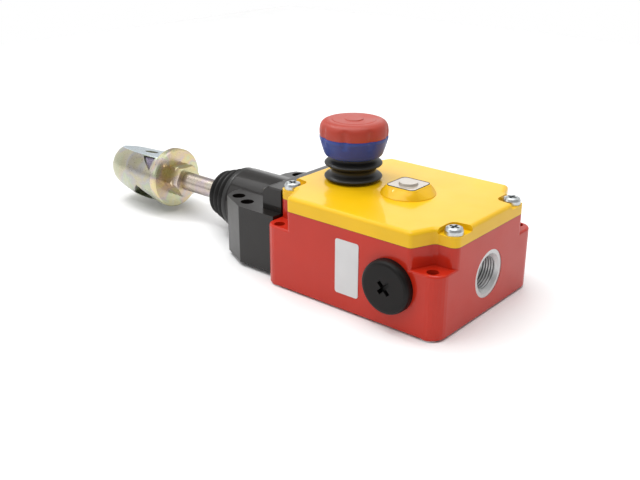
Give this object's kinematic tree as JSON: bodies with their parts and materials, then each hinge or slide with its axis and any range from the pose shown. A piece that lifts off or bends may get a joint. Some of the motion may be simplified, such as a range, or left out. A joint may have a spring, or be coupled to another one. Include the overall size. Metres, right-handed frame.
{
  "type": "rope pull switch",
  "caption": "Emergency stop rope pull switch: box housing with cover, stop button and window, and a sprung pull rod carrying a rope clamp.",
  "frame": {"origin": "centre of the four mounting holes, on the plane of the mounting pads", "axes": "+Z away from the mounting face, towards the cover; +X towards the end cable entry; the rope pulls along -X"},
  "size_m": [0.2892, 0.1016, 0.0874],
  "materials": {
    "housing_red": "gloss enamel",
    "cover_yellow": "gloss enamel",
    "head_black": "semi-gloss",
    "zinc_bright": "zinc plated",
    "zinc_yellow": "yellow passivated zinc",
    "spring_steel": "drawn wire",
    "rubber_black": "matt",
    "plug_black": "satin moulded",
    "button_red": "matt moulded",
    "ring_blue": "matt moulded",
    "label_white": "smooth",
    "lens_clear": "polished",
    "bronze": "sintered",
    "cam_white": "moulded",
    "block_grey": "moulded",
    "flag_green": "moulded"
  },
  "bodies": {
    "base": {"housing": "housing_red", "cover": "cover_yellow", "cover_gasket": "rubber_black", "cover_screws": "zinc_bright", "window_lens": "lens_clear", "lens_seal": "rubber_black", "blanking_plugs": "plug_black", "plug_seals": "rubber_black", "label_plate": "label_white", "head_body": "head_black", "head_seal": "rubber_black", "head_screws": "zinc_bright", "guide_bush": "bronze", "inner_bush": "bronze", "knob_bush": "plug_black", "bush_nut": "zinc_bright", "detent_ring": "spring_steel", "lever_pin": "spring_steel", "contact_block_near": "block_grey", "contact_block_far": "block_grey", "block_screws": "zinc_bright", "terminal_screws": "zinc_bright", "earth_screw": "bronze"},
    "rod": {"pull_rod": "zinc_yellow", "spring_plate": "zinc_bright", "spring_clip": "spring_steel", "cam_slide": "cam_white", "cam_nut": "zinc_bright", "indicator_flag": "flag_green", "lock_nut": "zinc_yellow", "jam_nut": "zinc_yellow", "clamp_flange": "zinc_yellow", "clamp_body": "zinc_yellow", "clamp_jaws": "zinc_bright", "return_spring": "spring_steel", "rod_bellows": "rubber_black"},
    "button": {"knob_cap": "button_red", "reset_ring": "ring_blue", "knob_stem": "zinc_bright", "knob_spring": "spring_steel", "knob_bellows": "rubber_black"},
    "plunger_near": {"cam_plunger_near": "cam_white"},
    "plunger_far": {"cam_plunger_far": "cam_white"},
    "lever": {"trip_lever": "zinc_bright"},
    "stop_pins": {"stop_plungers": "cam_white"}
  },
  "joints": [
    {"name": "rod_pull", "type": "slide", "parent": "base", "child": "rod", "axis": [-1, 0, 0], "range_m": [0, 0.016], "stiffness_N_per_m": 6000, "springref_m": -0.01, "deforming": ["return_spring", "rod_bellows"]},
    {"name": "button_press", "type": "slide", "parent": "base", "child": "button", "axis": [0, 0, -1], "range_m": [0, 0.005], "stiffness_N_per_m": 800, "springref_m": -0.002, "deforming": ["knob_spring", "knob_bellows"]},
    {"name": "cam_plunger_near_slide", "type": "slide", "parent": "base", "child": "plunger_near", "axis": [0, -1, 0], "range_m": [0, 0.002]},
    {"name": "cam_plunger_far_slide", "type": "slide", "parent": "base", "child": "plunger_far", "axis": [0, 1, 0], "range_m": [0, 0.002]},
    {"name": "lever_swing", "type": "hinge", "parent": "base", "child": "lever", "pos_m": [-0.014, 0, 0.0378], "axis": [0, -1, 0], "range_deg": [0, 16.5]},
    {"name": "stop_pins_slide", "type": "slide", "parent": "base", "child": "stop_pins", "axis": [0, 0, -1], "range_m": [0, 0.0031]}
  ],
  "couplings": [
    {"joint": "cam_plunger_near_slide", "follows": "rod_pull", "ratio": 0.125},
    {"joint": "cam_plunger_far_slide", "follows": "rod_pull", "ratio": 0.125},
    {"joint": "lever_swing", "follows": "button_press", "rad_per_m": 57.586},
    {"joint": "stop_pins_slide", "follows": "button_press", "ratio": 0.62}
  ]
}
